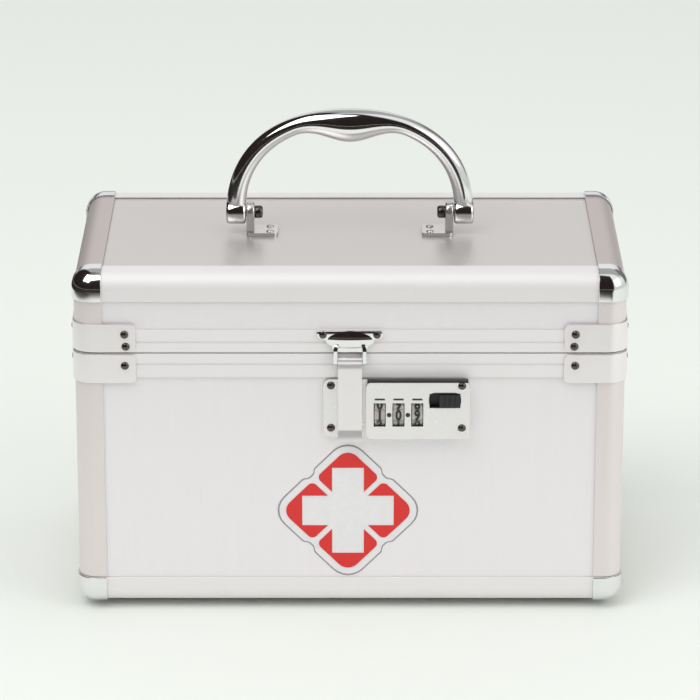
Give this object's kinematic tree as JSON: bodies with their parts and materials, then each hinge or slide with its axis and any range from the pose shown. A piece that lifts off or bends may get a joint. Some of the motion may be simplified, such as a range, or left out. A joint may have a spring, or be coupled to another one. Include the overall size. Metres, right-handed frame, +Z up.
{
  "type": "medication lock box",
  "caption": "Aluminium-framed lockable medicine case with a hinged lid, a folding arched carry handle, a hasp and a number-dial lock.",
  "frame": {"origin": "middle of the footprint, on the plane of the feet", "axes": "+X along the width to the right as seen from the front, +Y to the hinge side, +Z up"},
  "size_m": [0.2432, 0.1354, 0.2125],
  "materials": {
    "panel_sheet": "satin laminated aluminium sheet, fine grain",
    "edge_extrusion": "drawn aluminium edge extrusion, satin",
    "bright_chrome": "polished chrome plate",
    "cast_zinc": "nickel-plated zinc casting and pressed steel",
    "dark_plastic": "moulded black plastic",
    "foot_rubber": "moulded black rubber",
    "lining": "thin grey lining board with a short nap"
  },
  "bodies": {
    "case": {"base_panel": "panel_sheet", "front_panel": "panel_sheet", "back_panel": "panel_sheet", "left_panel": "panel_sheet", "right_panel": "panel_sheet", "base_edge": "edge_extrusion", "body_rim": "edge_extrusion", "body_liner": "lining", "lock_housing": "cast_zinc", "lock_case": "cast_zinc", "stay_pin": "cast_zinc", "hinge_body_leaf_left": "cast_zinc", "hinge_body_leaf_right": "cast_zinc", "hinge_pin_left": "cast_zinc", "hinge_pin_right": "cast_zinc", "corner_post_front_left": "edge_extrusion", "corner_post_front_right": "edge_extrusion", "corner_post_back_left": "edge_extrusion", "corner_post_back_right": "edge_extrusion", "base_corner_front_left": "bright_chrome", "base_corner_front_right": "bright_chrome", "base_corner_back_left": "bright_chrome", "base_corner_back_right": "bright_chrome", "body_bracket_front_left": "bright_chrome", "body_bracket_front_right": "bright_chrome", "body_bracket_back_left": "bright_chrome", "body_bracket_back_right": "bright_chrome", "foot_front_left": "foot_rubber", "foot_front_right": "foot_rubber", "foot_back_left": "foot_rubber", "foot_back_right": "foot_rubber"},
    "lid": {"lid_top_panel": "panel_sheet", "lid_front_panel": "panel_sheet", "lid_back_panel": "panel_sheet", "lid_left_panel": "panel_sheet", "lid_right_panel": "panel_sheet", "lid_frame": "edge_extrusion", "lid_rim": "edge_extrusion", "lid_liner": "lining", "hinge_lid_leaf_left": "cast_zinc", "hinge_lid_leaf_right": "cast_zinc", "handle_bracket_left": "bright_chrome", "handle_bracket_right": "bright_chrome", "hasp_bracket": "bright_chrome", "lid_corner_front_left": "bright_chrome", "lid_corner_front_right": "bright_chrome", "lid_corner_back_left": "bright_chrome", "lid_corner_back_right": "bright_chrome", "lid_bracket_front_left": "bright_chrome", "lid_bracket_front_right": "bright_chrome", "lid_bracket_back_left": "bright_chrome", "lid_bracket_back_right": "bright_chrome"},
    "carry_handle": {"handle": "bright_chrome"},
    "hasp": {"hasp_flap": "bright_chrome"},
    "stay": {"stay_arm": "cast_zinc"},
    "dial_a": {"dial_1": "cast_zinc"},
    "dial_b": {"dial_2": "cast_zinc"},
    "dial_c": {"dial_3": "cast_zinc"},
    "release": {"release_slider": "dark_plastic"},
    "reset": {"reset_lever": "dark_plastic"}
  },
  "joints": [
    {"name": "lid_hinge", "type": "hinge", "parent": "case", "child": "lid", "pos_m": [0, 0.06545, 0.1207], "axis": [-1, 0, 0], "range_deg": [0, 95]},
    {"name": "handle_fold", "type": "hinge", "parent": "lid", "child": "carry_handle", "pos_m": [0, 0.00015, 0.1651], "axis": [1, 0, 0], "range_deg": [-90, 90]},
    {"name": "hasp_hinge", "type": "hinge", "parent": "lid", "child": "hasp", "pos_m": [0, -0.06495, 0.118], "axis": [-1, 0, 0], "range_deg": [0, 100]},
    {"name": "stay_pivot", "type": "hinge", "parent": "lid", "child": "stay", "pos_m": [-0.112, 0.01945, 0.1367], "axis": [-1, 0, 0], "range_deg": [-50, 0]},
    {"name": "release_slide", "type": "slide", "parent": "case", "child": "release", "axis": [-1, 0, 0], "range_m": [0, 0.004]},
    {"name": "reset_slide", "type": "slide", "parent": "case", "child": "reset", "axis": [0, 0, 1], "range_m": [0, 0.003]},
    {"name": "dial_1_spin", "type": "hinge", "parent": "case", "child": "dial_a", "pos_m": [0.0129, -0.05985, 0.0936], "axis": [1, 0, 0], "continuous": true},
    {"name": "dial_2_spin", "type": "hinge", "parent": "case", "child": "dial_b", "pos_m": [0.02105, -0.05985, 0.0936], "axis": [1, 0, 0], "continuous": true},
    {"name": "dial_3_spin", "type": "hinge", "parent": "case", "child": "dial_c", "pos_m": [0.0292, -0.05985, 0.0936], "axis": [1, 0, 0], "continuous": true}
  ],
  "couplings": [
    {"joint": "stay_pivot", "follows": "lid_hinge", "ratio": -0.5}
  ]
}
